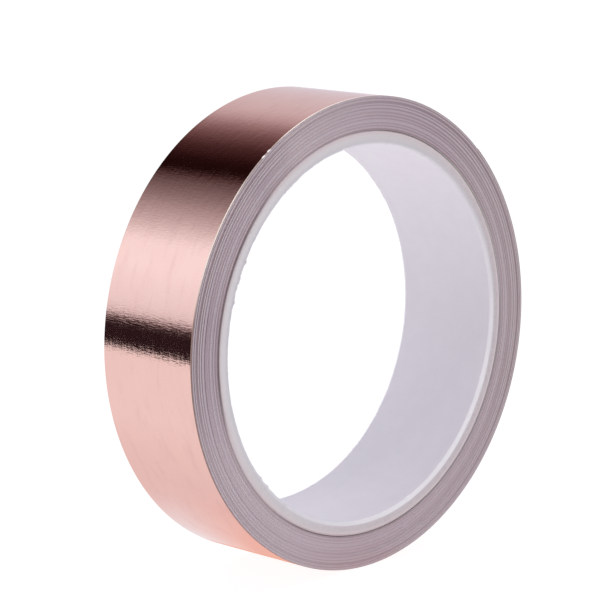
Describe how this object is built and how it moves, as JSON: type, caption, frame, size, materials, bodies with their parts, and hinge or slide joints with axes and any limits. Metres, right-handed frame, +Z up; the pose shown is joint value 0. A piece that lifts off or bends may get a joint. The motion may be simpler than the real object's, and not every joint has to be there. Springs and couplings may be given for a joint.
{
  "type": "copper foil tape roll",
  "caption": "Wide roll of self-adhesive copper foil tape wound with its release liner on a plain white plastic core, with a free end that lifts and peels.",
  "frame": {"origin": "centre of the roll, on its axis and half way across its width", "axes": "+Y along the roll's axis, +Z up with the roll standing on its rim, +X to the right seen from -Y; the tape's free end points up on the +X side"},
  "size_m": [0.0965, 0.025, 0.0965],
  "materials": {
    "core_plastic": "satin",
    "starter_film": "satin",
    "liner_paper": "matte",
    "adhesive_film": "gloss",
    "copper_foil": "polished"
  },
  "bodies": {
    "wound_roll": {"core": "core_plastic", "starter_strip": "starter_film", "liner_winding": "liner_paper", "adhesive_winding": "adhesive_film", "foil_winding": "copper_foil", "foil_outer_turn": "copper_foil"},
    "lifted_end": {"liner_end": "liner_paper", "adhesive_fold": "adhesive_film", "foil_fold": "copper_foil"},
    "peeled_foil": {"adhesive_end": "adhesive_film", "foil_end": "copper_foil"}
  },
  "joints": [
    {"name": "tape_end_lift", "type": "hinge", "parent": "wound_roll", "child": "lifted_end", "pos_m": [0.04684, 0, 0.01168], "axis": [0, 1, 0], "range_deg": [0, 60]},
    {"name": "foil_peel", "type": "hinge", "parent": "lifted_end", "child": "peeled_foil", "pos_m": [0.04507, 0, 0.01731], "axis": [0, 1, 0], "range_deg": [0, 90]}
  ]
}
